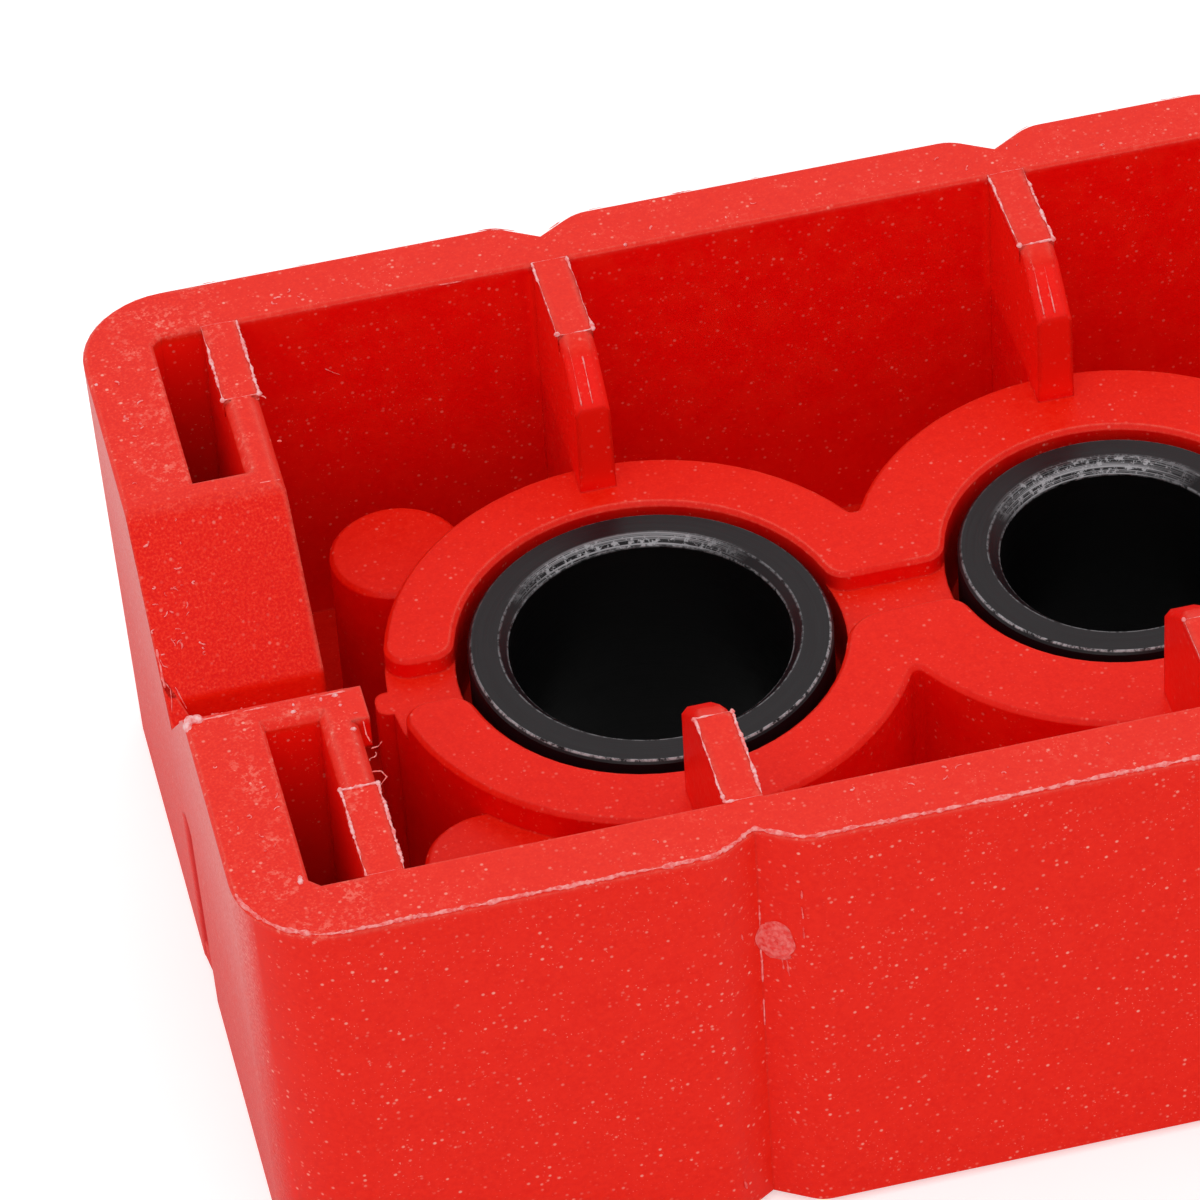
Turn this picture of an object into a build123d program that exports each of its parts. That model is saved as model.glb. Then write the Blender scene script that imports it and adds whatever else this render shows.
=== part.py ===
from build123d import *
import os
from math import atan2, degrees, radians, tan

# A hand-held drill guide, lying on its deck with its open working side up.
# X runs along the row of holes, Y across it and Z up. The origin is in the middle of
# the deck's outer face, on the surface that the guide lies on. Sizes are in millimetres.

# Guide bushings, from the largest bore to the smallest: 3/8, 5/16, 1/4 and 3/16 inch
bore_largest = 9.525
bore_large = 7.9375
bore_small = 6.35
bore_smallest = 4.7625
wall_largest = 1.35
wall_large = 1.42
wall_small = 1.5
wall_smallest = 1.6
lead_in_largest = 0.3
lead_in_others = 0.4
sink_largest = 0.03
sink_others = 0.12
bushing_edge_break = 0.12
bushing_setback = 0.2

# Row of holes, even about the middle of the guide
end_to_first_hole = 16.35
outer_pitch = 16.15
middle_pitch = 18.1

# Moulded body
body_width = 32.15
body_height = 17.3
corner_radius = 3.2
outer_draft = 1.1
side_wall = 2.35
deck = 3.55
rim_outer_edge = 0.12
rim_inner_edge = 0.1
deck_edge = 0.4
cavity_draft = 0.4

# End walls: an outer skin, and an inner wall that is thin beside the two blind pockets
end_skin = 2.45
pocket_gap = 1.8
inner_wall = 1.15
pocket_start = 6.2
pocket_corner = 0.35
inner_wall_edge = 0.25

# V groove across both end walls, with a narrow relief slot along its bottom
groove_width = 10.4
groove_angle = 90.0
groove_edge = 0.3
relief_width = 1.25
relief_round = 0.35

# Bosses round the bushings, in a fused row, with a channel along their tops
boss_drop = 5.2
boss_rim = 2.35
neck_width = 6.15
cusp_round = 0.25
recess_gap = 0.45
recess_depth = 3.5
channel_width = 1.95
channel_depth = 0.75
land_corner = 0.85
land_corner_wide = 1.5
land_edge = 0.15

# Cross ribs from the side walls onto the bosses
rib_thickness = 1.15
rib_draft = 0.6
rib_foot = 1.35
rib_ramp_run = 1.5
rib_ramp_drop = 1.25
rib_nose_run = 0.7
rib_nose_drop = 0.3
rib_edge = 0.2

# Sharp level pads that ejector blades leave on the ribs and the inner walls
pad_depth = 0.7
pad_lip = 0.04

# Round posts beside the outermost bosses
post_radius = 2.3
post_back = 7.1
post_side = 7.8
post_drop = 1.15
post_edge = 0.15

# Nibs outside the outermost bosses, and a small lug beside each end's V groove
nib_width = 1.1
nib_reach = 0.5
nib_round = 0.4
lug_width = 1.55
lug_reach = 0.4
lug_depth = 1.25

# V marks down the outside of the walls: one for each hole and one in the middle of each
# side wall, and a smaller one at each end
mark_half_width = 1.37
mark_depth = 0.85
mark_shoulder = 1.55
end_mark_half_width = 0.95
end_mark_depth = 0.7
end_mark_shoulder = 0.8

# What follows from the sizes above
bores = (bore_largest, bore_large, bore_small, bore_smallest)
bushing_walls = (wall_largest, wall_large, wall_small, wall_smallest)
lead_ins = (lead_in_largest, lead_in_others, lead_in_others, lead_in_others)
sinks = (sink_largest, sink_others, sink_others, sink_others)
bushing_names = ("bushing_largest", "bushing_large", "bushing_small", "bushing_smallest")
bushing_radii = [bore / 2 + wall for bore, wall in zip(bores, bushing_walls)]
outermost_hole = middle_pitch / 2 + outer_pitch
hole_places = (-outermost_hole, -middle_pitch / 2, middle_pitch / 2, outermost_hole)
half_length = outermost_hole + end_to_first_hole
half_width = body_width / 2
cavity_half_width = half_width - side_wall
pocket_end = half_length - end_skin
cavity_half_length = pocket_end - pocket_gap - inner_wall
boss_radius = max(bushing_radii) + recess_gap + boss_rim
boss_top = body_height - boss_drop
channel_floor = boss_top - channel_depth
groove_half = groove_width / 2
rib_end = boss_radius - rib_foot
pad_start = rib_end + rib_ramp_run + rib_nose_run

# How far cutters run past what they cut, and how far added pieces run into what holds them
past = 1.0
rooted = 0.8

# How near two heights or places count as the same
near = 0.001


def drawn_down(sketch, top, bottom, draft):
    """Extrude a sketch from one height down to another, narrowing by the draft angle."""
    return extrude(Pos(0, 0, top) * sketch, amount=bottom - top, taper=draft)


def edges_at(shape, height):
    """The edges of a shape that lie in one level plane."""
    return shape.edges().filter_by_position(Axis.Z, height - near, height + near)


def block_between(x, y, z):
    """A rectangular block between two limits on each axis, the lower one first."""
    size = (x[1] - x[0], y[1] - y[0], z[1] - z[0])
    return Pos(x[0], y[0], z[0]) * Box(*size, align=(Align.MIN, Align.MIN, Align.MIN))


def both_ends(piece):
    """A piece and its mirror image at the guide's other end."""
    return [piece, mirror(piece, about=Plane.YZ)]


def mark_profile(half_width, depth, shoulder):
    """A V with rounded shoulders, cut towards -Y into a wall that lies along y = 0."""
    slope = atan2(depth, half_width)
    start = half_width + shoulder * tan(slope / 2)
    arc = JernArc((start, 0), (-1, 0), shoulder, degrees(slope))
    flank = Line(arc @ 1, (0, -depth))
    outside = Polyline((0, -depth), (0, past), (start, past), (start, 0))
    half = make_face([arc, flank, *outside.edges()])
    return half + mirror(half, about=Plane.YZ)


def marks():
    """All the marks, each turned so that its wall faces outwards."""
    side = mark_profile(mark_half_width, mark_depth, mark_shoulder)
    end = mark_profile(end_mark_half_width, end_mark_depth, end_mark_shoulder)
    along = (*hole_places, 0)
    back = [Pos(x, half_width) * side for x in along]
    front = [Pos(x, -half_width) * Rot(Z=180) * side for x in along]
    ends = [Pos(half_length, 0) * Rot(Z=-90) * end, Pos(-half_length, 0) * Rot(Z=90) * end]
    return back + front + ends


def outer_block():
    """The outer form, with its marks, widest at the rim."""
    outline = RectangleRounded(2 * half_length, body_width, corner_radius) - marks()
    block = drawn_down(outline, body_height, 0, outer_draft)
    block = chamfer(edges_at(block, body_height), rim_outer_edge)
    return chamfer(edges_at(block, 0), deck_edge)


def hollow_block():
    """The outer form, hollowed from above down to the deck."""
    corners = Rectangle(2 * pocket_end, 2 * cavity_half_width)
    mouth = chamfer(corners.vertices(), pocket_corner)
    block = outer_block() - drawn_down(mouth, body_height, deck, cavity_draft)
    inner_edges = block.faces().sort_by(Axis.Z)[-1].inner_wires().edges()
    return chamfer(inner_edges, rim_inner_edge)


def end_wall():
    """What stands inside the +X end: a thin wall, filled out to the skin between the pockets."""
    thin = Rectangle(inner_wall, 2 * (cavity_half_width + rooted), align=(Align.MIN, Align.CENTER))
    reach = pocket_end + rooted - cavity_half_length
    filled = Rectangle(reach, 2 * pocket_start, align=(Align.MIN, Align.CENTER))
    outline = Pos(cavity_half_length, 0) * (thin + filled)
    wall = drawn_down(outline, body_height, deck - rooted, -cavity_draft)
    open_edges = [
        e
        for e in edges_at(wall, body_height)
        if e.center().X < pocket_end and abs(e.center().Y) < cavity_half_width
    ]
    return chamfer(open_edges, inner_wall_edge)


def lug():
    """The small lug on the +X end's inner wall, beside the V groove's front edge."""
    return block_between(
        (cavity_half_length - lug_reach, cavity_half_length + inner_wall / 2),
        (-groove_half - lug_width, -groove_half),
        (body_height - lug_depth, body_height),
    )


def groove():
    """The V groove, from end to end of the guide, with the relief slot below it."""
    lean = radians(groove_angle / 2)
    bend = radians(90 - groove_angle / 2)
    slope_foot = body_height - (groove_half - relief_width / 2) / tan(lean)
    start = groove_half + groove_edge * tan(bend / 2)
    arc = JernArc((start, body_height), (-1, 0), groove_edge, degrees(bend))
    inside = Polyline(
        arc @ 1,
        (relief_width / 2, slope_foot),
        (relief_width / 2, channel_floor),
        (0, channel_floor),
        (0, body_height + past),
        (start, body_height + past),
        (start, body_height),
    )
    half = make_face([arc, *inside.edges()])
    foot = half.vertices().filter_by_position(Axis.Y, slope_foot - near, slope_foot + near)
    half = fillet(foot, relief_round)
    profile = Plane.YZ * (half + mirror(half, about=Plane.YZ))
    return extrude(profile, amount=half_length + past, both=True)


def boss_outline():
    """The row of bosses seen from above, with a neck from each to the next."""
    outline = Rectangle(2 * outermost_hole, neck_width)
    outline += [Pos(x, 0) * Circle(boss_radius) for x in hole_places]
    cusps = [v for v in outline.vertices() if abs(v.Y) > neck_width / 4]
    return fillet(cusps, cusp_round)


def bosses():
    """The bosses up to the floor of the channel."""
    return extrude(Pos(0, 0, deck - rooted) * boss_outline(), amount=channel_floor - deck + rooted)


def lands():
    """The raised tops of the bosses, parted by the channel and by a ring at each bushing."""
    tops = boss_outline() - Rectangle(2 * (outermost_hole + boss_radius + past), channel_width)
    tops -= [Pos(x, 0) * Circle(r + recess_gap) for x, r in zip(hole_places, bushing_radii)]
    corners = [v for v in tops.vertices() if abs(abs(v.Y) - channel_width / 2) < near]
    beside_largest = Vector(hole_places[0] + bushing_radii[0] + recess_gap, -channel_width / 2)
    corners.sort(key=lambda v: (v.center() - beside_largest).length)
    tops = fillet(corners[1:], land_corner)
    tops = fillet(tops.vertices().sort_by_distance(corners[0])[:1], land_corner_wide)
    layer = extrude(Pos(0, 0, channel_floor) * tops, amount=channel_depth)
    return chamfer(edges_at(layer, boss_top), land_edge)


def rib():
    """One cross rib towards +Y: level at the wall, ramped down to its foot on a boss."""
    wall_end = cavity_half_width + rooted
    nose = body_height - rib_nose_drop
    side_view = Polygon(
        (rib_end, deck - rooted),
        (wall_end, deck - rooted),
        (wall_end, body_height),
        (pad_start, body_height),
        (rib_end + rib_ramp_run, nose),
        (rib_end, nose - rib_ramp_drop),
        align=None,
    )
    top_view = Rectangle(rib_thickness, wall_end - rib_end, align=(Align.CENTER, Align.MIN))
    blade = drawn_down(Pos(0, rib_end) * top_view, body_height, deck - rooted, -rib_draft)
    blade &= extrude(Plane.YZ * side_view, amount=2 * rib_thickness, both=True)
    upper = [
        e
        for e in blade.edges().filter_by(Axis.X, reverse=True)
        if e.center().Z > boss_top and e.center().Y < cavity_half_width + rooted / 2
    ]
    return chamfer(upper, rib_edge)


def ribs():
    """The cross ribs, two at each hole."""
    turns = (Rot(Z=0), Rot(Z=180))
    return [Pos(x, 0) * turn * rib() for x in hole_places for turn in turns]


def pads():
    """The level pads, where each rib and each inner wall meets a side wall."""
    y = (pad_start, cavity_half_width + rooted)
    z = (body_height - pad_depth, body_height)
    half_pad = rib_thickness / 2 + pad_lip
    on_rib = block_between((-half_pad, half_pad), y, z)
    inner_face = cavity_half_length - pad_lip
    on_wall = block_between((inner_face, inner_face + inner_wall + 2 * pad_lip), y, z)
    back = [Pos(x, 0) * on_rib for x in hole_places] + both_ends(on_wall)
    return back + [mirror(pad, about=Plane.XZ) for pad in back]


def posts():
    """The four round posts, two beside each outermost boss."""
    top = boss_top - post_drop
    post = Pos(0, 0, deck - rooted) * extrude(Circle(post_radius), amount=top - deck + rooted)
    post = chamfer(edges_at(post, top), post_edge)
    across = outermost_hole + post_back
    return [Pos(sx * across, sy * post_side) * post for sx in (-1, 1) for sy in (-1, 1)]


def nib():
    """The upright nib on the +X outermost boss, as high as the floor of the channel."""
    outline = Rectangle(rooted + nib_reach, nib_width, align=(Align.MIN, Align.CENTER))
    outline = fillet(outline.vertices().sort_by(Axis.X)[-2:], nib_round)
    foot = Pos(outermost_hole + boss_radius - rooted, 0, deck - rooted)
    return foot * extrude(outline, amount=channel_floor - deck + rooted)


def bushing_holes():
    """Each bushing's hole, with the wider recess round its top, open to above."""
    cutters = []
    for x, radius in zip(hole_places, bushing_radii):
        hole = Pos(x, 0, -past) * extrude(Circle(radius), amount=body_height)
        recess = Circle(radius + recess_gap)
        open_top = extrude(Pos(x, 0, boss_top - recess_depth) * recess, amount=body_height)
        cutters += [hole, open_top]
    return cutters


def guide_body():
    """The whole moulding."""
    body = hollow_block() + both_ends(end_wall()) + both_ends(lug()) - groove()
    body += [bosses(), lands(), *both_ends(nib())]
    body += ribs()
    body += pads()
    body += posts()
    return body - bushing_holes()


def bushing(bore, wall, lead_in, sink):
    """One steel bushing, turned, with a lead-in at both ends of its bore."""
    inner = bore / 2
    outer = inner + wall
    bottom = bushing_setback
    top = boss_top - sink
    profile = Polygon(
        (inner, bottom + lead_in),
        (inner + lead_in, bottom),
        (outer - bushing_edge_break, bottom),
        (outer, bottom + bushing_edge_break),
        (outer, top - bushing_edge_break),
        (outer - bushing_edge_break, top),
        (inner + lead_in, top),
        (inner, top - lead_in),
        align=None,
    )
    return revolve(Plane.XZ * profile, axis=Axis.Z)


os.makedirs("parts", exist_ok=True)
export_step(guide_body(), "parts/guide_body.step")
for name, x, bore, wall, lead_in, sink in zip(
    bushing_names, hole_places, bores, bushing_walls, lead_ins, sinks
):
    export_step(Pos(x, 0) * bushing(bore, wall, lead_in, sink), f"parts/{name}.step")
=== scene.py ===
import bpy
import random
from math import atan2, cos, hypot, pi, radians, sin, tan
from types import SimpleNamespace
from mathutils import Matrix, Vector, noise


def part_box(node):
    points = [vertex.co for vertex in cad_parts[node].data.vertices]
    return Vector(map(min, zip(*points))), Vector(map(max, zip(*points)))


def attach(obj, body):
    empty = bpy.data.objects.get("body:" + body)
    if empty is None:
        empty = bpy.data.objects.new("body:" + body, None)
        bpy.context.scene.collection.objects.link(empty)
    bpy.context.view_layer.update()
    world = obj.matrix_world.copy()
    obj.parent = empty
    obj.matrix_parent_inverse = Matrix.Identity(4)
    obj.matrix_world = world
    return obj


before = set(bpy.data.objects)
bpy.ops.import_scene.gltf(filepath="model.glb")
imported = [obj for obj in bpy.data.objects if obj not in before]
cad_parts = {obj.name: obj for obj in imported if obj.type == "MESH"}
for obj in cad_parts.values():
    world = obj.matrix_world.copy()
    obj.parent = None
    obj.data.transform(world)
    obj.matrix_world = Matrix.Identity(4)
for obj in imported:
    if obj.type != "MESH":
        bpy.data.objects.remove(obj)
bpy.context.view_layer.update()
MM = 0.001

# Camera: the photograph's viewing angle, with the lens and the sensor's width in mm
AZIMUTH = radians(10.187)
ELEVATION = radians(42.385)
ROLL = radians(-4.372)
AIM = Vector((-27.433, -3.484, 17.3)) * MM
DISTANCE = 232.69 * MM
FOCAL_LENGTH = 215.6
SENSOR = 36.0

# Light levels: 1 is what a white surface needs to show as white
WORLD_LEVEL = 0.86
SKY_BEHIND_CAMERA = 0.35
FLOOR_LIFT = 0.47

# The key light's power in watts, its place, aim and size in metres, and the floor's half width
KEY_POWER = 0.9
KEY_PLACE = (-0.25, -0.45, 0.75)
KEY_AIM = (-0.02, 0, 0.01)
KEY_SIZE = (0.5, 0.5)
FLOOR_HALF = 1.5

# Sizes of the guide in millimetres, as in its solids
HOLES = (-25.2, -9.05, 9.05, 25.2)
HALF_LENGTH = 41.55
HALF_WIDTH = 16.075
HEIGHT = 17.3
CORNER = 3.2
DRAFT = radians(1.1)
CAVITY_HALF_WIDTH = 13.725
CAVITY_HALF_LENGTH = 36.15
INNER_WALL = 1.15
POCKET_START = CAVITY_HALF_LENGTH + INNER_WALL
GROOVE_HALF = 5.2
GROOVE_FLOOR = HEIGHT - GROOVE_HALF
MARK_HALF_WIDTH = 1.37
MARK_DEPTH = 0.85
MARK_SHOULDER = 1.55
END_MARK_DEPTH = 0.7
END_MARK_HALF_WIDTH = 1.215
PAD_HALF = 0.615
PAD_LIP = 0.04
PAD_START = 9.7625
BOSS_TOP = 12.1
# Each bushing's bore and lead-in
BORES = {
    "bushing_largest": (9.525, 0.3),
    "bushing_large": (7.9375, 0.4),
    "bushing_small": (6.35, 0.4),
    "bushing_smallest": (4.7625, 0.4),
}

# Where the slit in each end face begins to close, though the mark in the solid runs on up
SLIT_TOP = 8.3

# The middle of the gate's scar along X and Z, on the front of the guide
GATE = (-24.76, 12.42)

# Colours of the red plastic in linear light: its plain tones as shaded and lit copies that paint shade and
# light, a painted glow, grain, rubbed places, a painted sheen, painted shade in the slits, and pale edges
# that are partly rubbing and partly painted highlight
SHADED_RED = ((0.86, 0.0018, 0.0007), (0.90, 0.0035, 0.0012))
LIT_RED = ((0.86, 0.010, 0.0018), (0.91, 0.018, 0.0045))
WARM_RED = (0.93, 0.018, 0.006)
# Painted glow, where light would shine through thin walls
PAINTED_GLOW_RED = (1.0, 0.010, 0.0035)
# Painted shade for the recess of the slit in each end face
SLIT_SHADE_RED = (0.66, 0.0015, 0.0007)
RIDGE_RED = (0.95, 0.05, 0.022)
PIT_RED = (0.76, 0.0010, 0.0004)
RUBBED_RED = (0.97, 0.20, 0.15)
WORN_AND_HIGHLIT_EDGE = (1.0, 0.17, 0.12)
PALE_GRAIN = (1.0, 0.37, 0.29)
# A pale haze painted on the end faces for their sheen
PAINTED_SHEEN = (1.0, 0.42, 0.40)

# The plastic where it is torn, flashed or scarred, each with the whiter tone of its patches
TORN = ((0.95, 0.20, 0.19), (1.0, 0.58, 0.58))
FLASHED = ((0.93, 0.08, 0.07), (1.0, 0.35, 0.33))
SCARRED = ((0.88, 0.03, 0.022), (0.95, 0.17, 0.15))

# Black oxide on a bushing's face and in its bore, darker there as painted shade, and bare steel on its
# edges, partly with painted highlights
OXIDE = ((0.0045, 0.0030, 0.0042), (0.0085, 0.0058, 0.0082))
SHADED_BORE_OXIDE = (0.0026, 0.0023, 0.0025)
BARE_STEEL_AND_GLINT = (0.40, 0.41, 0.43)

# How round the red plastic's edges look, in mm
SHARP_EDGE = 0.13
SOFT_EDGE = 0.36

# Threads of plastic have this many sides
THREAD_SIDES = 6


def make_camera():
    """A camera that looks at the rim plane from the photograph's azimuth and elevation."""
    forward = Vector((sin(AZIMUTH) * cos(ELEVATION), cos(AZIMUTH) * cos(ELEVATION), -sin(ELEVATION)))
    level = Vector((cos(AZIMUTH), -sin(AZIMUTH), 0))
    upright = level.cross(forward)
    right = cos(ROLL) * level + sin(ROLL) * upright
    up = right.cross(forward)
    turn = Matrix((right, up, -forward)).transposed().to_4x4()
    data = bpy.data.cameras.new("camera")
    data.lens = FOCAL_LENGTH
    data.sensor_width = SENSOR
    data.clip_start = 0.01
    data.clip_end = 20
    camera = bpy.data.objects.new("camera", data)
    bpy.context.scene.collection.objects.link(camera)
    camera.matrix_world = Matrix.Translation(AIM - forward * DISTANCE) @ turn
    bpy.context.scene.camera = camera


def area_light(name, place, aim, size, power):
    """A rectangular lamp at a place, turned towards what it aims at."""
    data = bpy.data.lights.new(name, "AREA")
    data.shape = "RECTANGLE"
    data.size, data.size_y = size
    data.energy = power
    light = bpy.data.objects.new(name, data)
    bpy.context.scene.collection.objects.link(light)
    turn = (Vector(aim) - Vector(place)).to_track_quat("-Z", "Y").to_matrix().to_4x4()
    light.matrix_world = Matrix.Translation(place) @ turn


def add_node(tree, kind, inputs=None, **settings):
    """Add a node, set its properties, and fill its inputs with values or with other outputs."""
    node = tree.nodes.new("ShaderNode" + kind)
    for key, value in settings.items():
        setattr(node, key, value)
    for key, value in (inputs or {}).items():
        if isinstance(value, bpy.types.NodeSocket):
            tree.links.new(value, node.inputs[key])
        else:
            node.inputs[key].default_value = value
    return node


def maths(tree, operation, a, b=0.0):
    return add_node(tree, "Math", {0: a, 1: b}, operation=operation).outputs[0]


def product(tree, first, *others):
    """Values multiplied: for masks, where all of them hold."""
    for other in others:
        first = maths(tree, "MULTIPLY", first, other)
    return first


def highest(tree, first, *others):
    """The highest of some values: for masks, where any of them holds."""
    for other in others:
        first = maths(tree, "MAXIMUM", first, other)
    return first


def size_of(tree, value):
    """A value without its sign."""
    return maths(tree, "ABSOLUTE", value)


def opposite(tree, mask):
    """1 where a mask is 0, and 0 where it is 1."""
    return maths(tree, "SUBTRACT", 1.0, mask)


def ramp(tree, value, low, high, to_low=0.0, to_high=1.0):
    """Map a value from one range to another, clamped."""
    names = ("Value", "From Min", "From Max", "To Min", "To Max")
    inputs = dict(zip(names, (value, low, high, to_low, to_high)))
    return add_node(tree, "MapRange", inputs).outputs[0]


def between(tree, mask, at_none, at_full):
    """A value that goes from one amount to another as a mask goes from 0 to 1."""
    return ramp(tree, mask, 0, 1, at_none, at_full)


def band(tree, value, middle, half):
    """1 where a value is near the middle, falling to 0 a half width to each side."""
    away = size_of(tree, maths(tree, "SUBTRACT", value, middle))
    return ramp(tree, away, half, 0.4 * half)


def mix_colour(tree, factor, first, second):
    """The first colour where the factor is 0, and the second where it is 1."""
    node = add_node(tree, "Mix", data_type="RGBA")
    for index, value in ((0, factor), (6, first), (7, second)):
        if isinstance(value, bpy.types.NodeSocket):
            tree.links.new(value, node.inputs[index])
        else:
            node.inputs[index].default_value = value if index == 0 else (*value, 1)
    return node.outputs[2]


def make_world():
    """White behind the object, a soft sky in reflections, and even light from all round."""
    world = bpy.data.worlds.new("studio")
    bpy.context.scene.world = world
    world.use_nodes = True
    tree = world.node_tree
    background = tree.nodes["Background"]
    background.inputs["Color"].default_value = (1, 1, 1, 1)
    path = add_node(tree, "LightPath")
    direction = add_node(tree, "TexCoord").outputs["Generated"]
    towards_back = add_node(tree, "SeparateXYZ", {0: direction}).outputs[1]
    sky = ramp(tree, towards_back, -0.5, 0.5, SKY_BEHIND_CAMERA, 1.0)
    mirrored = highest(tree, path.outputs["Is Glossy Ray"], path.outputs["Is Transmission Ray"])
    strength = between(tree, mirrored, WORLD_LEVEL, sky)
    strength = between(tree, path.outputs["Is Camera Ray"], strength, 1.0)
    tree.links.new(strength, background.inputs["Strength"])


def new_material(name):
    """A new material, its node tree and its shader."""
    material = bpy.data.materials.new(name)
    material.use_nodes = True
    tree = material.node_tree
    return material, tree, tree.nodes["Principled BSDF"]


def make_floor():
    """A pale floor that shows as white, with the guide's faint shadow."""
    half = FLOOR_HALF
    corners = [(-half, -half, 0), (half, -half, 0), (half, half, 0), (-half, half, 0)]
    mesh = bpy.data.meshes.new("floor")
    mesh.from_pydata(corners, [], [(0, 1, 2, 3)])
    floor = bpy.data.objects.new("floor", mesh)
    bpy.context.scene.collection.objects.link(floor)
    material, tree, shader = new_material("pale_floor")
    shader.inputs["Roughness"].default_value = 0.7
    shader.inputs["Emission Color"].default_value = (1, 1, 1, 1)
    grain = cloud(tree, position_in_mm(tree), 0.05, 3.0)
    tree.links.new(ramp(tree, grain, 0.3, 0.7, 0.82, 0.88), shader.inputs["Base Color"])
    seen = add_node(tree, "LightPath").outputs["Is Camera Ray"]
    tree.links.new(product(tree, seen, FLOOR_LIFT), shader.inputs["Emission Strength"])
    mesh.materials.append(material)


def position_in_mm(tree):
    """The place on the object, in millimetres of its own frame."""
    place = add_node(tree, "TexCoord").outputs["Object"]
    return add_node(tree, "VectorMath", {0: place, "Scale": 1 / MM}, operation="SCALE").outputs[0]


def cloud(tree, place, scale, detail=2.0, roughness=0.5):
    """Noise about 0.5, with so many swells to a millimetre."""
    inputs = {"Vector": place, "Scale": scale, "Detail": detail, "Roughness": roughness}
    return add_node(tree, "TexNoise", inputs).outputs[0]


def specks(tree, place, per_mm, radius):
    """Small grains through the material: up to 1 where the surface cuts a grain, 0 elsewhere."""
    cells = add_node(tree, "TexVoronoi", {"Vector": place, "Scale": per_mm, "Randomness": 1.0})
    size = radius * per_mm
    grain = ramp(tree, cells.outputs["Distance"], size, 0.4 * size)
    luck = add_node(tree, "SeparateColor", {0: cells.outputs["Color"]}).outputs[0]
    return product(tree, grain, luck)


def edge_mask(tree, radius, count):
    """The normal with softened edges, and how near a point is to an edge, from 0 to 1 on it."""
    soft = add_node(tree, "Bevel", {"Radius": radius}, samples=count)
    plain = add_node(tree, "NewGeometry").outputs["Normal"]
    dot = add_node(tree, "VectorMath", {0: soft.outputs[0], 1: plain}, operation="DOT_PRODUCT")
    return soft.outputs[0], ramp(tree, dot.outputs["Value"], 0.995, 0.9)


def places_on_moulding(tree):
    """A point's distances in mm along, across and up the moulding, and masks for its parts."""
    at = SimpleNamespace(point=position_in_mm(tree))
    split = add_node(tree, "SeparateXYZ", {0: at.point})
    at.along = size_of(tree, split.outputs[0])
    at.towards_back = split.outputs[1]
    at.across = size_of(tree, at.towards_back)
    at.height = split.outputs[2]
    normal = add_node(tree, "SeparateXYZ", {0: add_node(tree, "NewGeometry").outputs["Normal"]})
    at.faces_up = ramp(tree, normal.outputs[2], 0.3, 0.8)
    at.faces_end = ramp(tree, size_of(tree, normal.outputs[0]), 0.85, 0.95)

    pair_middle = (HOLES[3] + HOLES[2]) / 2
    pair_half = (HOLES[3] - HOLES[2]) / 2
    from_middle = size_of(tree, maths(tree, "SUBTRACT", at.along, pair_middle))
    at.from_hole = maths(tree, "SUBTRACT", from_middle, pair_half)
    at.by_rib = ramp(tree, size_of(tree, at.from_hole), 0.95, 0.75)

    at.end = ramp(tree, at.along, CAVITY_HALF_LENGTH - 0.3, CAVITY_HALF_LENGTH)
    side = ramp(tree, at.across, CAVITY_HALF_WIDTH + 0.02, CAVITY_HALF_WIDTH + 0.2)
    at.walls = highest(tree, at.end, side)
    at.rim = ramp(tree, at.height, HEIGHT - 0.3, HEIGHT - 0.1)
    at.end_rim = product(tree, at.rim, ramp(tree, at.along, CAVITY_HALF_LENGTH, CAVITY_HALF_LENGTH + 1))
    outermost = ramp(tree, at.along, HALF_LENGTH - 1.0, HALF_LENGTH - 0.6)
    at.end_face = product(tree, outermost, at.faces_end)
    at.groove = product(tree, ramp(tree, at.across, GROOVE_HALF + 0.1, GROOVE_HALF), at.end, at.faces_up)
    return at


def plastic_noise(tree, point):
    """The plastic's unevenness at three scales: fine pebbles, flakes, and broad patches."""
    return SimpleNamespace(
        pebbles=cloud(tree, point, 11.0, 1.0, 0.6),
        flakes=cloud(tree, point, 4.6, 2.0, 0.7),
        patches=cloud(tree, point, 0.8, 2.0, 0.6),
    )


def mottled_red_with_painted_light(tree, at, noises):
    """The plain plastic, mottled, with painted shade inside the cavity, painted light on the walls and on
    faces that look up, and a painted glow of brighter red where the ribs' sides and the pocket walls are
    thin.
    """
    shade = ramp(tree, noises.flakes, 0.35, 0.65)
    shaded = mix_colour(tree, shade, *SHADED_RED)
    lit = mix_colour(tree, shade, *LIT_RED)
    # Painted light and shade: the walls and faces that look up take the lit copy, the rest of the cavity
    # the shaded one
    colour = mix_colour(tree, highest(tree, at.walls, at.faces_up), shaded, lit)
    colour = mix_colour(tree, ramp(tree, noises.patches, 0.42, 0.62, 0.0, 0.35), colour, WARM_RED)

    rib_side = product(tree, at.by_rib, ramp(tree, at.height, BOSS_TOP, BOSS_TOP + 0.4))
    pocket_wall = product(
        tree,
        ramp(tree, at.along, POCKET_START - 0.2, POCKET_START),
        ramp(tree, at.along, HALF_LENGTH - 0.55, HALF_LENGTH - 0.85),
        ramp(tree, at.across, GROOVE_HALF + 0.2, GROOVE_HALF + 0.4),
    )
    inside = product(
        tree,
        ramp(tree, at.across, CAVITY_HALF_WIDTH + 0.875, CAVITY_HALF_WIDTH + 0.675),
        ramp(tree, at.height, HEIGHT - 0.3, HEIGHT - 0.5),
    )
    # Painted light: brighter, clearer red on the ribs' sides and the pocket walls, a glow of light through
    # the thin plastic
    thin = product(tree, highest(tree, rib_side, pocket_wall), inside)
    return mix_colour(tree, thin, colour, PAINTED_GLOW_RED)


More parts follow.
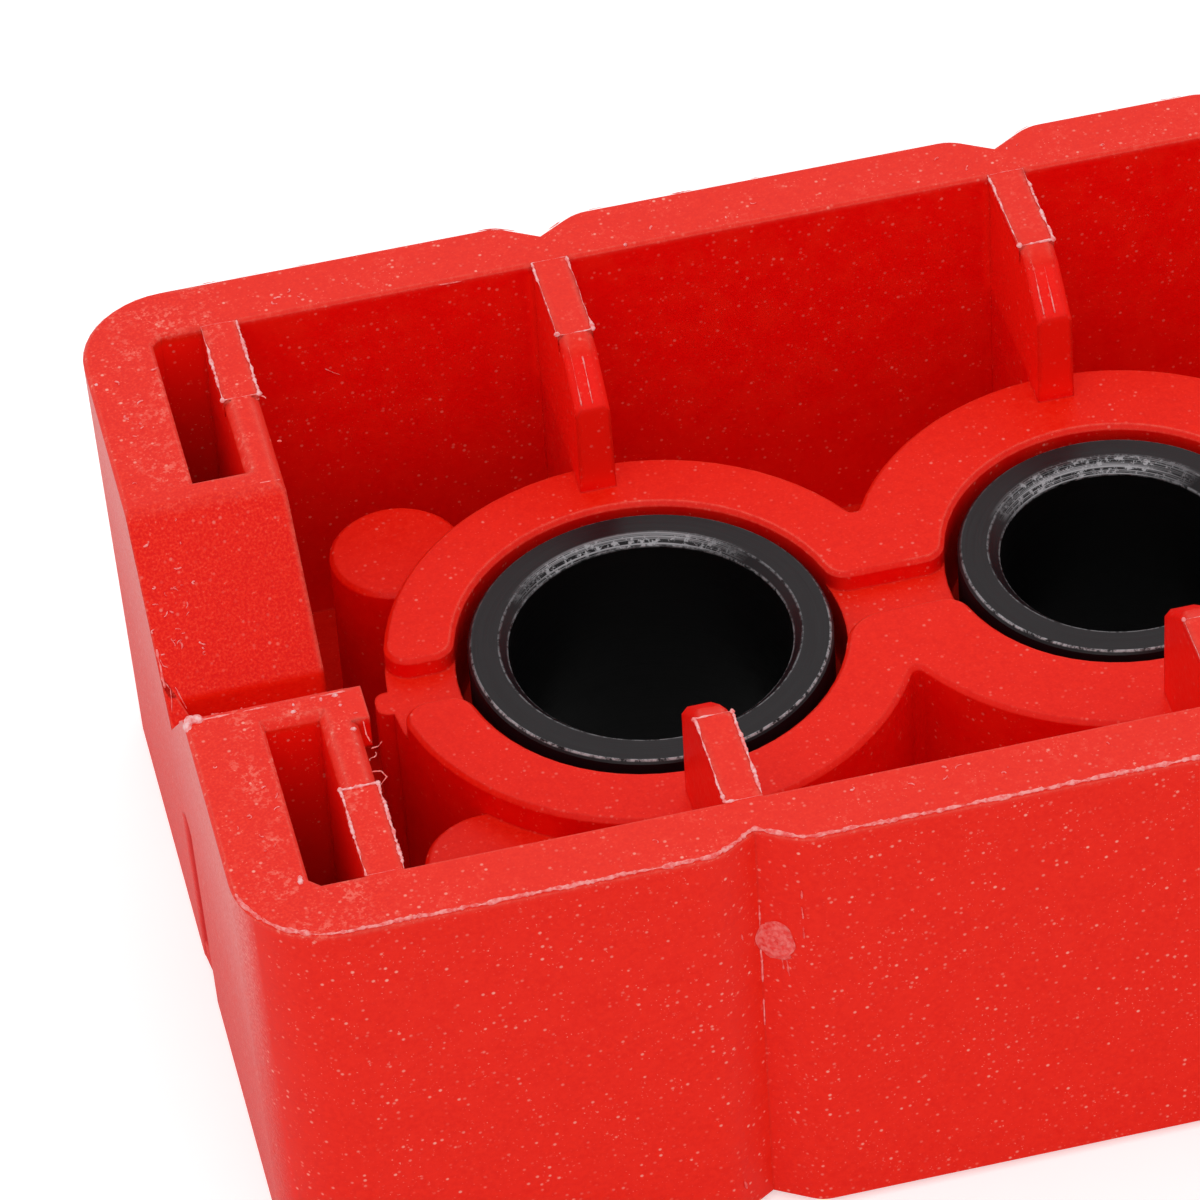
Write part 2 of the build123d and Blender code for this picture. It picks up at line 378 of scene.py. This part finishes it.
def pebbled(tree, noises, grainy, colour):
    """A colour with the ridges and pits of grain, as strong as the place is grainy."""
    ridges = product(tree, ramp(tree, noises.pebbles, 0.52, 0.70), grainy, 0.7)
    pits = product(tree, ramp(tree, noises.pebbles, 0.55, 0.36), grainy, 0.8)
    return mix_colour(tree, pits, mix_colour(tree, ridges, colour, RIDGE_RED), PIT_RED)


def rubbed(tree, at, noises, colour):
    """A colour paler in patches on the rim, most of all at its ends inside the outer edge."""
    near_pocket = ramp(tree, at.along, HALF_LENGTH - 0.6, HALF_LENGTH - 1.6, 0.15, 0.75)
    most = highest(tree, product(tree, at.end_rim, near_pocket), product(tree, at.rim, 0.25))
    patchy = product(tree, ramp(tree, noises.patches, 0.36, 0.6), ramp(tree, noises.flakes, 0.5, 0.62))
    rubs = product(tree, patchy, most, 0.8)
    return mix_colour(tree, highest(tree, rubs, product(tree, at.rim, 0.08)), colour, RUBBED_RED)


def painted_sheen(tree, at, noises, colour):
    """A colour with a painted sheen on the end faces: a pale haze for their reflection at a low angle,
    stronger towards the rim.
    """
    sheen_strength = ramp(tree, at.height, 8, 17, 0.04, 0.42)
    uneven = ramp(tree, noises.pebbles, 0.35, 0.65, 0.3, 1.0)
    return mix_colour(tree, product(tree, at.end_face, sheen_strength, uneven), colour, PAINTED_SHEEN)


def speckled(tree, at, noises, colour):
    """A colour with pale grains in clusters, most on the walls and fewer in the V groove."""
    clusters = ramp(tree, noises.patches, 0.4, 0.58, 0.25, 1.0)
    amount = product(tree, between(tree, at.walls, 0.5, 1.0), between(tree, at.groove, 1.0, 0.45))
    fine = ramp(tree, noises.pebbles, 0.69, 0.77, 0.0, 0.5)
    strong = specks(tree, at.point, 3.0, 0.075)
    grains = product(tree, highest(tree, fine, strong), amount, clusters)
    return mix_colour(tree, grains, colour, PALE_GRAIN)


def shade_in_slit(tree, at, colour):
    """A colour darkened to deep red on the flanks of the slit in each end face: painted shade in the
    recess.
    """
    in_slit = product(
        tree,
        ramp(tree, at.across, END_MARK_HALF_WIDTH + 0.085, END_MARK_HALF_WIDTH - 0.015),
        ramp(tree, at.along, HALF_LENGTH - 1.2, HALF_LENGTH - 1.1),
        ramp(tree, at.height, SLIT_TOP + 0.2, SLIT_TOP - 1.0),
        opposite(tree, at.faces_end),
    )
    return mix_colour(tree, product(tree, in_slit, 0.9), colour, SLIT_SHADE_RED)


def edge_radius(tree, at):
    """How round an edge looks: rounder on the ribs' tops and the inner walls' tops."""
    rib_top = product(tree, at.by_rib, ramp(tree, at.height, BOSS_TOP + 0.4, BOSS_TOP + 0.8))
    wall_top = ramp(tree, at.along, CAVITY_HALF_LENGTH + 2.2, CAVITY_HALF_LENGTH + 1.6)
    soft = highest(tree, product(tree, rib_top, opposite(tree, at.walls)), product(tree, wall_top, at.end))
    return between(tree, soft, SHARP_EDGE * MM, SOFT_EDGE * MM)


def worn_and_highlit_edges(tree, at, noises, edges, colour):
    """A colour with pale edges, partly rubbed bare and partly painted highlights: on the rim, in the V
    groove, and on the bosses' lands.
    """
    flat = add_node(tree, "CombineXYZ", {0: at.from_hole, 1: at.across}).outputs[0]
    from_axis = add_node(tree, "VectorMath", {0: flat}, operation="LENGTH").outputs["Value"]
    behind_bore = product(tree, ramp(tree, from_axis, 7.3, 7.0), ramp(tree, at.towards_back, -2.0, 0.0))
    lands = product(
        tree,
        band(tree, at.height, BOSS_TOP, 0.2),
        between(tree, behind_bore, 0.2, 1.0),
        opposite(tree, at.end),
        opposite(tree, product(tree, at.by_rib, ramp(tree, at.across, 7.2, 7.4))),
    )
    bare = highest(tree, product(tree, at.rim, 0.7), lands, at.groove)
    # Painted highlights and rubbing: pale lines along the edges that the softened normal finds
    edge_paling = product(tree, edges, bare, ramp(tree, noises.flakes, 0.35, 0.6, 0.3, 0.8))
    return mix_colour(tree, edge_paling, colour, WORN_AND_HIGHLIT_EDGE)


def red_plastic():
    """Moulded red plastic: satin and lightly mottled, with pale grains, rubbed ends, edges partly rubbed
    and partly painted highlights, painted shade and light, and a painted sheen on the end faces.
    """
    material, tree, shader = new_material("red_plastic")
    at = places_on_moulding(tree)
    noises = plastic_noise(tree, at.point)
    grainy = highest(
        tree,
        at.groove,
        product(tree, at.end_rim, 0.5),
        product(tree, at.end_face, 0.5),
        product(tree, at.faces_up, 0.15),
    )
    soft_normal, edges = edge_mask(tree, edge_radius(tree, at), 4)

    colour = mottled_red_with_painted_light(tree, at, noises)
    colour = pebbled(tree, noises, grainy, colour)
    colour = rubbed(tree, at, noises, colour)
    colour = painted_sheen(tree, at, noises, colour)
    colour = speckled(tree, at, noises, colour)
    colour = shade_in_slit(tree, at, colour)
    colour = worn_and_highlit_edges(tree, at, noises, edges, colour)
    tree.links.new(colour, shader.inputs["Base Color"])

    shader.inputs["Specular IOR Level"].default_value = 0.15
    tree.links.new(ramp(tree, noises.flakes, 0.3, 0.7, 0.36, 0.48), shader.inputs["Roughness"])
    uneven = ramp(tree, noises.pebbles, 0.35, 0.65, 0.7, 1.15)
    polish = product(tree, at.end_face, ramp(tree, at.height, 5, 17, 0.18, 0.42), uneven)
    tree.links.new(polish, shader.inputs["Coat Weight"])
    shader.inputs["Coat Roughness"].default_value = 0.42
    depth = maths(tree, "ADD", maths(tree, "ADD", grainy, 0.2), product(tree, at.end_face, 2.5))
    relief = product(tree, noises.pebbles, depth)
    bump = {"Strength": 0.45, "Distance": 0.02 * MM, "Height": relief, "Normal": soft_normal}
    tree.links.new(add_node(tree, "Bump", bump).outputs[0], shader.inputs["Normal"])
    return material


def pale_plastic(name, colour, whiter):
    """The same plastic where it is thin or torn, and so paler and uneven."""
    material, tree, shader = new_material(name)
    place = position_in_mm(tree)
    patches = cloud(tree, place, 5.0, 3.0, 0.6)
    shade = mix_colour(tree, ramp(tree, patches, 0.38, 0.62), colour, whiter)
    tree.links.new(shade, shader.inputs["Base Color"])
    tree.links.new(ramp(tree, patches, 0.3, 0.7, 0.35, 0.55), shader.inputs["Roughness"])
    bump = {"Strength": 0.4, "Distance": 0.02 * MM, "Height": cloud(tree, place, 14.0, 2.0)}
    tree.links.new(add_node(tree, "Bump", bump).outputs[0], shader.inputs["Normal"])
    return material


def steel_edges(tree, at, radii, lead_in, rough_line):
    """Where a bushing's oxide is rubbed off in broken lines: its outer, lead-in and bore edges, with the
    outer edge brighter towards the front as a painted highlight.
    """
    bore, outer = radii
    at_top = ramp(tree, at.height, -0.16, -0.13)
    # Painted highlight: the outer edge brightens towards the front
    front = ramp(tree, at.towards_back, 0.4 * bore, -0.6 * bore, 0.12, 1.0)
    outer_edge = product(tree, band(tree, at.radius, outer - 0.11, 0.05), at_top, front)
    lead_edge = product(tree, band(tree, at.radius, bore + lead_in, 0.05), at_top, 0.35)
    bore_edge = product(tree, band(tree, at.radius, bore, 0.06), band(tree, at.height, -lead_in, 0.08), 0.4)
    broken = ramp(tree, rough_line, 0.40, 0.56)
    return product(tree, highest(tree, outer_edge, lead_edge, bore_edge), broken)


def lead_in_highlights(tree, at, radii, lead_in, turning, rough_line):
    """Painted highlights: bright streaks round the back of the cone that leads a drill into the bore."""
    bore = radii[0]
    at_cone = ramp(tree, at.height, -lead_in - 0.05, -lead_in)
    back = ramp(tree, at.towards_back, 0.60 * bore, 0.94 * bore)
    cone = product(tree, band(tree, at.radius, bore + lead_in / 2, lead_in), at_cone, back)
    streaks = highest(tree, ramp(tree, turning, 0.45, 0.62), ramp(tree, rough_line, 0.5, 0.6))
    return product(tree, cone, streaks)


def black_steel(name, top_centre, radii, lead_in):
    """Black-oxide turned steel: dark and darker in the bore as painted shade, with turning lines round its
    own axis and bright edges, partly bare steel and partly painted highlights.
    """
    material, tree, shader = new_material(name)
    place = position_in_mm(tree)
    from_top = add_node(tree, "VectorMath", {0: place, 1: top_centre}, operation="SUBTRACT").outputs[0]
    split = add_node(tree, "SeparateXYZ", {0: from_top})
    flat = add_node(tree, "CombineXYZ", {0: split.outputs[0], 1: split.outputs[1]}).outputs[0]
    radius = add_node(tree, "VectorMath", {0: flat}, operation="LENGTH").outputs["Value"]
    at = SimpleNamespace(radius=radius, towards_back=split.outputs[1], height=split.outputs[2])

    outwards = maths(tree, "ADD", at.radius, at.height)
    lines = add_node(tree, "CombineXYZ", {0: product(tree, outwards, 16.0)}).outputs[0]
    drift = add_node(tree, "VectorMath", {0: from_top, "Scale": 0.3}, operation="SCALE").outputs[0]
    drifted = add_node(tree, "VectorMath", {0: lines, 1: drift}, operation="ADD").outputs[0]
    turning = cloud(tree, drifted, 1.0, 2.0)
    rough_line = cloud(tree, place, 4.2, 3.0, 0.75)

    colour = mix_colour(tree, cloud(tree, place, 1.6, 4.0, 0.6), *OXIDE)
    # Painted shade: the bore's oxide is darker than the face's
    in_bore = ramp(tree, at.radius, radii[0] + 0.02, radii[0])
    colour = mix_colour(tree, in_bore, colour, SHADED_BORE_OXIDE)
    edges = steel_edges(tree, at, radii, lead_in, rough_line)
    bare = highest(tree, edges, lead_in_highlights(tree, at, radii, lead_in, turning, rough_line))
    tree.links.new(mix_colour(tree, bare, colour, BARE_STEEL_AND_GLINT), shader.inputs["Base Color"])
    shader.inputs["Specular IOR Level"].default_value = 0.3
    tree.links.new(ramp(tree, turning, 0.3, 0.7, 0.3, 0.45), shader.inputs["Roughness"])
    bump = {"Strength": 0.4, "Distance": 0.01 * MM, "Height": turning}
    tree.links.new(add_node(tree, "Bump", bump).outputs[0], shader.inputs["Normal"])
    return material


def bushing_steel(name):
    """A bushing's own steel, laid out from its box in the frame."""
    low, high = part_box(name)
    centre = [(a + b) / 2 / MM for a, b in zip(low[:2], high[:2])]
    outer = (high[0] - low[0]) / 2 / MM
    bore, lead_in = BORES[name]
    steel = name.replace("bushing", "black_steel")
    return black_steel(steel, (*centre, high[2] / MM), (bore / 2, outer), lead_in)


def dress_cad_nodes(red):
    """Red plastic on the moulding, and its own black steel on each bushing."""
    for name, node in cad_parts.items():
        material = bushing_steel(name) if name in BORES else red
        node.data.materials.clear()
        node.data.materials.append(material)


def add_piece(name, shapes, material, smooth=True):
    """One piece of the moulding from shapes, each a list of vertices in mm and a list of faces."""
    verts, faces = [], []
    for shape_verts, shape_faces in shapes:
        start = len(verts)
        verts += [Vector(v) * MM for v in shape_verts]
        faces += [tuple(start + index for index in face) for face in shape_faces]
    mesh = bpy.data.meshes.new(name)
    mesh.from_pydata(verts, [], faces)
    mesh.polygons.foreach_set("use_smooth", [smooth] * len(faces))
    mesh.materials.append(material)
    piece = bpy.data.objects.new(name, mesh)
    bpy.context.scene.collection.objects.link(piece)
    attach(piece, "root")


def evenly(points, step=0.1):
    """Points about one step apart, in mm, along straight runs between the given points."""
    spaced = []
    for start, end in zip(points, points[1:]):
        start, end = Vector(start), Vector(end)
        count = max(1, round((end - start).length / step))
        spaced += [start.lerp(end, i / count) for i in range(count)]
    return spaced + [Vector(points[-1])]


def thread(line, radius, rough=0.35, cover=1.0):
    """A ragged thread through points: it swells and wanders, and thins out where cover is low."""
    verts, faces = [], []
    last = len(line) - 1
    for i, point in enumerate(line):
        ahead = (line[min(i + 1, last)] - line[max(i - 1, 0)]).normalized()
        side = ahead.cross(Vector((0, 1, 0) if abs(ahead.z) > 0.8 else (0, 0, 1))).normalized()
        over = side.cross(ahead)
        swell = 1 + rough * 1.3 * noise.noise(point * 3.1) + rough * 1.7 * noise.noise(point * 11.0)
        present = min(1.0, max(0.12, 3 * (noise.noise(point * 0.9 + Vector((7, 3, 1))) + cover)))
        size = max(0.15, swell) * radius * present * (0.5 if i in (0, last) else 1)
        middle = point + noise.noise_vector(point * 2.3) * radius * 0.6
        for k in range(THREAD_SIDES):
            turn = 2 * pi * k / THREAD_SIDES
            verts.append(middle + (side * cos(turn) + over * sin(turn)) * size)
    for i in range(last):
        for k in range(THREAD_SIDES):
            a = i * THREAD_SIDES + k
            b = i * THREAD_SIDES + (k + 1) % THREAD_SIDES
            faces.append((a, b, b + THREAD_SIDES, a + THREAD_SIDES))
    faces.append(tuple(reversed(range(THREAD_SIDES))))
    faces.append(tuple(range(last * THREAD_SIDES, (last + 1) * THREAD_SIDES)))
    return verts, faces


def front_face(z):
    """Where the drafted front face lies at a height."""
    return -HALF_WIDTH + (HEIGHT - z) * tan(DRAFT)


def flank_of_first_mark(x, z):
    """Where the front face lies at and beside the first hole's V mark."""
    recess = max(0.0, MARK_DEPTH * (1 - abs(x - HOLES[0]) / MARK_HALF_WIDTH))
    return front_face(z) + recess


def mirrored_ends(points):
    """The same points at both ends of the guide."""
    return [[(side * x, y, z) for x, y, z in points] for side in (-1, 1)]


def pad_lines(x_low, x_high, side):
    """The burr round one ejector pad: along both its sides and across both its ends."""
    near, far = side * (PAD_START + 0.03), side * (CAVITY_HALF_WIDTH + 0.05)
    z = HEIGHT + 0.01
    # The two ends of each run, its radius, and how much of it is there
    runs = [
        ((x_low, near, z), (x_low, far, z), 0.043, 0.3),
        ((x_high, near, z), (x_high, far, z), 0.05, 0.45),
        ((x_low, near, z), (x_high, near, z), 0.04, 0.25),
        ((x_low, far, z), (x_high, far, z), 0.03, -0.1),
    ]
    burrs = [thread(evenly((a, b), 0.055), radius, 0.6, cover) for a, b, radius, cover in runs]
    for x in (x_low, x_high):
        bead = (x, near - side * 0.06, z), (x, near + side * 0.1, z)
        burrs.append(thread(evenly(bead, 0.05), 0.09, 0.2))
    return burrs


def pad_burrs():
    """The burrs round all the pads, on the ribs and on the inner walls."""
    inner, outer = CAVITY_HALF_LENGTH - PAD_LIP, CAVITY_HALF_LENGTH + INNER_WALL + PAD_LIP
    spans = [(x - PAD_HALF, x + PAD_HALF) for x in HOLES] + [(-outer, -inner), (inner, outer)]
    return [burr for side in (-1, 1) for span in spans for burr in pad_lines(*span, side)]


def mark_points(centre, side, inset):
    """The rim's edge round one V mark, from its lower to its higher X."""
    slope = atan2(MARK_DEPTH, MARK_HALF_WIDTH)
    start = MARK_HALF_WIDTH + MARK_SHOULDER * tan(slope / 2)
    half = [(start, 0)]
    half += [(start - MARK_SHOULDER * sin(t), -MARK_SHOULDER * (1 - cos(t))) for t in (slope / 2, slope)]
    profile = [(-x, y) for x, y in half] + [(0, -MARK_DEPTH)] + half[::-1]
    return [(centre + x, side * (HALF_WIDTH - inset + y), HEIGHT) for x, y in profile]


def rim_flash():
    """The thin flash along the rim's outer edge: blobbed on the long sides, faint round the corners."""
    inset = 0.07
    straight = HALF_LENGTH - CORNER
    bend = CORNER - inset
    shapes = []
    for side, radius, cover in ((-1, 0.062, 0.7), (1, 0.022, -0.3)):
        y = side * (HALF_WIDTH - inset)
        points = [(-straight, y, HEIGHT)]
        for centre in sorted((*HOLES, 0)):
            points += mark_points(centre, side, inset)
        points.append((straight, y, HEIGHT))
        shapes.append(thread(evenly(points, 0.08), radius, 0.5, cover))
        arc = []
        for turn in (radians(t) for t in range(0, 81, 10)):
            out = HALF_WIDTH - CORNER + bend * cos(turn)
            arc.append((straight + bend * sin(turn), side * out, HEIGHT))
        shapes += [thread(evenly(run, 0.08), radius, 0.6, cover - 0.3) for run in mirrored_ends(arc)]
    return shapes


def groove_burrs():
    """Burrs along the V groove's front and back edges, and down its back flank's outer edge."""
    y = GROOVE_HALF + 0.14
    z = HEIGHT - 0.02
    outer, inner = HALF_LENGTH - 0.2, CAVITY_HALF_LENGTH + 0.1
    front = [(outer, -y, z), (inner, -y, z)]
    back = [(outer, y, z), (inner, y, z)]
    x = HALF_LENGTH - 0.08
    down = [(x, y, z), (x - (GROOVE_HALF - 1) * tan(DRAFT), 1.0, GROOVE_FLOOR + 1.0)]
    shapes = []
    for points, radius, cover in ((front, 0.04, 0.35), (back, 0.03, 0.0), (down, 0.045, 0.3)):
        shapes += [thread(evenly(run), radius, 0.4, cover) for run in mirrored_ends(points)]
    return shapes


def corner_burrs():
    """The thick burr at each V groove's front outer corner."""
    y = GROOVE_HALF + 0.14
    corner = [
        (HALF_LENGTH - 0.05, -y - 0.35, HEIGHT - 0.12),
        (HALF_LENGTH - 0.08, -y - 0.12, HEIGHT - 0.02),
        (HALF_LENGTH - 0.25, -y + 0.02, HEIGHT + 0.02),
        (HALF_LENGTH - 0.65, -y + 0.04, HEIGHT),
    ]
    return [thread(evenly(run, 0.07), 0.15, 0.15) for run in mirrored_ends(corner)]


def valley_burrs():
    """A broken thread down the valley of each V mark on the front."""
    shapes = []
    for centre in (*HOLES, 0):
        runs = [(13.9, 12.9, 0.03), (12.6, 10.4, 0.04), (9.6, 8.4, 0.025)]
        for high, low, radius in runs:
            points = [(centre, front_face(z) + MARK_DEPTH, z) for z in (high, low)]
            shapes.append(thread(evenly(points), radius, 0.5, 0.3))
    return shapes


def gate_scar():
    """The round scar of the moulding's gate, rippled and torn, on the flank of a V mark."""
    verts, faces = [], []
    rings, spokes = 16, 40
    middle_x, middle_z = GATE
    half_width, half_height = 0.6, 0.8
    dome_height, pit_depth, root_depth = 0.09, 0.14, 0.3
    for i in range(rings + 2):
        for k in range(spokes):
            turn = 2 * pi * k / spokes
            share = min(i, rings) / rings
            edge = 1 + 0.2 * noise.noise(Vector((cos(turn), sin(turn), 0)) * 1.4)
            u = half_width * edge * share * cos(turn)
            v = half_height * edge * share * sin(turn)
            dome = dome_height * (1 - share ** 4)
            ripple = 0.03 * sin(24 * hypot(u, v) + 3 * u)
            ripple += 0.06 * noise.noise(Vector((u, v, 0)) * 6)
            pit = pit_depth * max(0.0, 1 - i / 2.5)
            lift = dome + ripple - pit if i <= rings else -root_depth
            x, z = middle_x + u, middle_z + v
            verts.append((x, flank_of_first_mark(x, z) - lift, z))
    for i in range(rings + 1):
        for k in range(spokes):
            a, b = i * spokes + k, i * spokes + (k + 1) % spokes
            faces.append((a, b, b + spokes, a + spokes))
    start = (rings + 1) * spokes
    faces.append(tuple(range(start, start + spokes)))
    return [(verts, faces)]


def gate_strands():
    """Thin pale strands on the front face beside the gate's scar."""
    # Each strand's ends along X and Z, and its radius
    runs = [
        ([(-24.5, 11.75), (-24.42, 10.9)], 0.03),
        ([(-24.62, 11.7), (-24.58, 11.2)], 0.025),
        ([(-23.98, 14.94), (-23.97, 14.6)], 0.028),
        ([(-23.98, 14.2), (-23.96, 13.7)], 0.03),
        ([(-23.97, 13.3), (-23.95, 12.81)], 0.026),
        ([(-26.3, 1.95), (-26.2, 1.5)], 0.06),
        ([(-25.9, 13.2), (-25.85, 12.9)], 0.03),
    ]
    shapes = []
    for points, radius in runs:
        line = [(x, flank_of_first_mark(x, z), z) for x, z in points]
        shapes.append(thread(evenly(line, 0.06), radius, 0.5, 0.8))
    return shapes


def end_mark_fill(end, rows):
    """One solid in an end's V mark, laid out row by row from its top."""
    verts, faces = [], []
    for z, opened, rise in rows:
        for y, depth in ((-END_MARK_HALF_WIDTH, 0.0), (0.0, END_MARK_DEPTH), (END_MARK_HALF_WIDTH, 0.0)):
            level = z + rise * abs(y)
            face = HALF_LENGTH - (HEIGHT - level) * tan(DRAFT) - 0.004
            verts.append((end * (face - opened * depth), y, level))
            verts.append((end * (face - depth - 0.12), y, level))
    last = 6 * (len(rows) - 1)
    for top in range(0, last, 6):
        foot = top + 6
        for a, b in ((0, 2), (2, 4), (4, 5), (5, 3), (3, 1), (1, 0)):
            faces.append((top + a, top + b, foot + b, foot + a))
    for start in (0, last):
        for half in (start, start + 2):
            faces.append((half, half + 2, half + 3, half + 1))
    return verts, faces


def end_mark_fills():
    """What fills the end marks towards the rim and the foot, and leaves a slit between."""
    # Each row's height, how much of the mark's depth is open there, and its rise to the sides
    upper = (
        (GROOVE_FLOOR, 0.0, 1.0),
        (10.0, 0.0, 0.0),
        (SLIT_TOP, 0.0, 0.0),
        (7.2, 0.7, 0.0),
        (5.6, 1.02, 0.0),
    )
    lower = (
        (2.2, 1.02, 0.0),
        (1.2, 0.45, 0.0),
        (0.45, 0.2, 0.0),
    )
    return [end_mark_fill(end, rows) for end in (-1, 1) for rows in (upper, lower)]


def lint():
    """Small pale lumps left on the rims."""
    # Each lump's place, radius and length across the guide
    lumps = [
        ((-39.36, -13.38, HEIGHT), 0.08, 0.42),
        ((-36.38, -7.15, HEIGHT), 0.08, 0.1),
        ((-41.3, 11.83, HEIGHT), 0.07, 0.12),
        ((-22.48, 13.8, HEIGHT), 0.09, 0.12),
        ((-38.0, -5.5, HEIGHT), 0.08, 0.1),
        ((-38.05, -5.84, HEIGHT), 0.07, 0.1),
        ((-37.1, -5.5, HEIGHT), 0.09, 0.14),
        ((-36.6, -5.48, HEIGHT), 0.10, 0.12),
        ((-36.55, -5.93, HEIGHT), 0.07, 0.1),
    ]
    shapes = []
    for (x, y, z), radius, length in lumps:
        line = evenly([(x, y + length / 2, z), (x, y - length / 2, z)], 0.05)
        shapes.append(thread(line, radius, 0.5))
    return shapes


def loose_threads():
    """Loose threads on the near end wall, groove and back wall, and streaks down the back ribs."""
    runs = [
        [(-35.98, -6.83, 17.25), (-36.0, -7.3, 17.1), (-35.95, -7.76, 17.2)],
        [(-35.98, -8.09, 17.2), (-35.75, -8.0, 17.15), (-35.6, -7.86, 17.2)],
        [(-36.2, -9.26, 17.32), (-35.9, -9.3, 17.3), (-35.8, -9.6, 17.3), (-36.05, -9.92, 17.32)],
        [(-41.35, 1.11, 13.23), (-41.22, 0.92, 13.05), (-41.25, 0.65, 12.78), (-41.31, 0.41, 12.53)],
        [(-41.05, 0.95, 13.08), (-41.01, 0.89, 13.01), (-40.91, 0.64, 12.76), (-40.81, 0.41, 12.53)],
        [(-41.36, 1.66, 13.78), (-41.3, 1.5, 13.62), (-41.16, 1.44, 13.56)],
        [(-33.28, 13.68, 14.5), (-33.0, 13.68, 14.25), (-32.79, 13.68, 14.1)],
        [(-29.1, 13.7, 17.2), (-28.27, 13.7, 17.17)],
    ]
    shapes = [thread(evenly(points, 0.06), 0.018, 0.5) for points in runs]
    for x in HOLES:
        for shift, start in ((-0.36, 9.6), (0.02, 8.9)):
            top = HEIGHT - 0.06 - 0.33 * (9.76 - start)
            line = [(x + shift, y, z) for y, z in ((start, top), (8.85, 16.98), (7.6, 15.93))]
            shapes.append(thread(evenly(line, 0.07), 0.022, 0.5, 0.25))
    return shapes


def whisker(origin, u, v, lift, dice):
    """One small curl of swarf on a surface whose two directions are given, lifted off it."""
    bend = dice.uniform(0.05, 0.3)
    start = dice.uniform(0, 2 * pi)
    sweep = dice.uniform(0.1, 0.34) / bend
    stretch = dice.uniform(0.5, 1.0)
    count = max(4, round(sweep * bend / 0.035))
    line = []
    for i in range(count + 1):
        turn = start + sweep * i / count
        line.append(origin + (u * cos(turn) + v * stretch * sin(turn)) * bend + lift)
    return thread(line, dice.uniform(0.014, 0.032), 0.5)


def whiskers():
    """Curls of swarf: on the V groove's flanks, on the end walls and along the rims."""
    dice = random.Random(11)
    east = Vector((1, 0, 0))
    north = Vector((0, 1, 0))
    shapes = []

    def on_rim(x, y, lift):
        shapes.append(whisker(Vector((x, y, HEIGHT)), east, north, Vector((0, 0, lift)), dice))

    for end in (-1, 1):
        for side in (-1, 1):
            slope = Vector((0, side, 1)).normalized()
            off_slope = Vector((0, -side, 1)) * 0.015
            for _ in range(26):
                depth = dice.uniform(0.3, 3.6)
                x = end * (HALF_LENGTH - dice.uniform(0.15, 1.9))
                spot = Vector((x, side * (GROOVE_HALF - depth), HEIGHT - depth))
                shapes.append(whisker(spot, east, slope, off_slope, dice))
            for _ in range(9):
                on_rim(end * dice.uniform(39.3, 41.1), side * dice.uniform(5.8, 13.0), 0.02)
            for _ in range(3):
                on_rim(end * dice.uniform(35.95, 36.3), side * dice.uniform(6.5, 9.6), 0.0)
    for side in (-1, 1):
        for _ in range(22):
            on_rim(dice.uniform(-36, 36), side * dice.uniform(14.1, 15.2), 0.015)
    return shapes


# Threads wander the same way in each run
noise.seed_set(1)

bpy.context.scene.view_settings.view_transform = "Standard"
make_camera()
make_world()
make_floor()
area_light("key", KEY_PLACE, KEY_AIM, KEY_SIZE, KEY_POWER)
red = red_plastic()
dress_cad_nodes(red)
torn = pale_plastic("torn_plastic", *TORN)
flashed = pale_plastic("flash_plastic", *FLASHED)
scarred = pale_plastic("scarred_plastic", *SCARRED)
add_piece("pad_burrs", pad_burrs(), torn)
add_piece("rim_flash", rim_flash(), flashed)
add_piece("groove_burrs", groove_burrs(), flashed)
add_piece("corner_burrs", corner_burrs(), torn)
add_piece("valley_burrs", valley_burrs(), flashed)
add_piece("whiskers", whiskers(), flashed)
add_piece("gate_scar", gate_scar(), scarred)
add_piece("gate_strands", gate_strands(), scarred)
add_piece("lint", lint(), torn)
add_piece("loose_threads", loose_threads(), flashed)
add_piece("end_mark_fills", end_mark_fills(), red, smooth=False)
